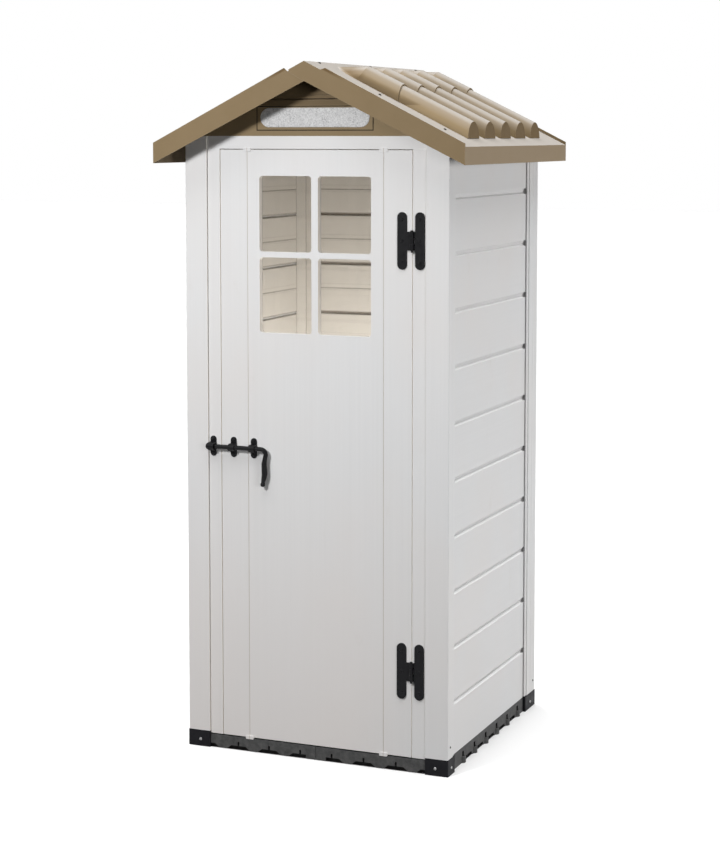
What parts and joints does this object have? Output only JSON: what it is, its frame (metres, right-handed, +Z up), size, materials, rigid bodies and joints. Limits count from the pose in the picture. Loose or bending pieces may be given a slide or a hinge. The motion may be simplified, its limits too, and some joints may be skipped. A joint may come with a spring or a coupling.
{
  "type": "garden storage cabinet",
  "caption": "Tall narrow garden storage cabinet: boarded plastic walls, tiled gable roof, windowed door on surface hinges, sliding bolt latch.",
  "frame": {"origin": "on the ground, under the middle of the roof and the walls", "axes": "+Z up, the door faces -Y, +X to the right of someone facing the door"},
  "size_m": [0.9576, 0.9372, 2.0172],
  "materials": {
    "white_plastic": "satin off-white extruded board",
    "brown_plastic": "satin tan brown moulding",
    "floor_plastic": "grained dark grey moulding",
    "foot_plastic": "satin black moulding",
    "beam_metal": "mill finish",
    "clear_pane": "clear sheet",
    "frosted_pane": "frosted sheet",
    "black_metal": "black coated steel",
    "screw_steel": "zinc plated"
  },
  "bodies": {
    "root": {"post_front_left": "white_plastic", "post_front_right": "white_plastic", "post_rear_left": "white_plastic", "post_rear_right": "white_plastic", "wall_boards_left": "white_plastic", "wall_boards_right": "white_plastic", "wall_boards_rear": "white_plastic", "jamb_left": "white_plastic", "jamb_right": "white_plastic", "front_header": "white_plastic", "eave_rail_left": "white_plastic", "eave_rail_right": "white_plastic", "rear_rail": "white_plastic", "roof_half_left": "brown_plastic", "roof_half_right": "brown_plastic", "gable_lower_front": "brown_plastic", "gable_upper_front": "brown_plastic", "gable_lower_rear": "brown_plastic", "gable_upper_rear": "brown_plastic", "floor_tile_left": "floor_plastic", "floor_tile_right": "floor_plastic", "foot_front_left": "foot_plastic", "foot_front_right": "foot_plastic", "foot_rear_left": "foot_plastic", "foot_rear_right": "foot_plastic", "ridge_beam": "beam_metal", "gable_light": "frosted_pane", "hinge_frame_leaf_upper": "black_metal", "hinge_frame_leaf_lower": "black_metal", "hinge_pin_upper": "black_metal", "hinge_pin_lower": "black_metal", "latch_keeper": "black_metal", "latch_keeper_cap": "black_metal", "hinge_frame_screws": "black_metal", "keeper_screws": "black_metal", "foot_screws": "screw_steel", "post_screws": "screw_steel", "roof_screws": "screw_steel"},
    "door": {"door_panel": "white_plastic", "door_stile_left": "white_plastic", "door_stile_right": "white_plastic", "door_joiner_left": "white_plastic", "door_joiner_right": "white_plastic", "door_window_pane": "clear_pane", "hinge_door_leaf_upper": "black_metal", "hinge_door_leaf_lower": "black_metal", "hinge_door_screws": "black_metal", "latch_strap_outer": "black_metal", "latch_strap_inner": "black_metal", "strap_screws": "black_metal"},
    "bolt_rod": {"bolt_rod": "black_metal"},
    "bolt_handle": {"bolt_handle": "black_metal"}
  },
  "joints": [
    {"name": "door_swing", "type": "hinge", "parent": "root", "child": "door", "pos_m": [0.299, -0.4025, 0.9], "axis": [0, 0, 1], "range_deg": [0, 110]},
    {"name": "bolt_slide", "type": "slide", "parent": "door", "child": "bolt_rod", "axis": [1, 0, 0], "range_m": [-0.012, 0.04]},
    {"name": "handle_turn", "type": "hinge", "parent": "bolt_rod", "child": "bolt_handle", "pos_m": [-0.166, -0.41, 0.9035], "axis": [-1, 0, 0], "range_deg": [0, 175]}
  ]
}
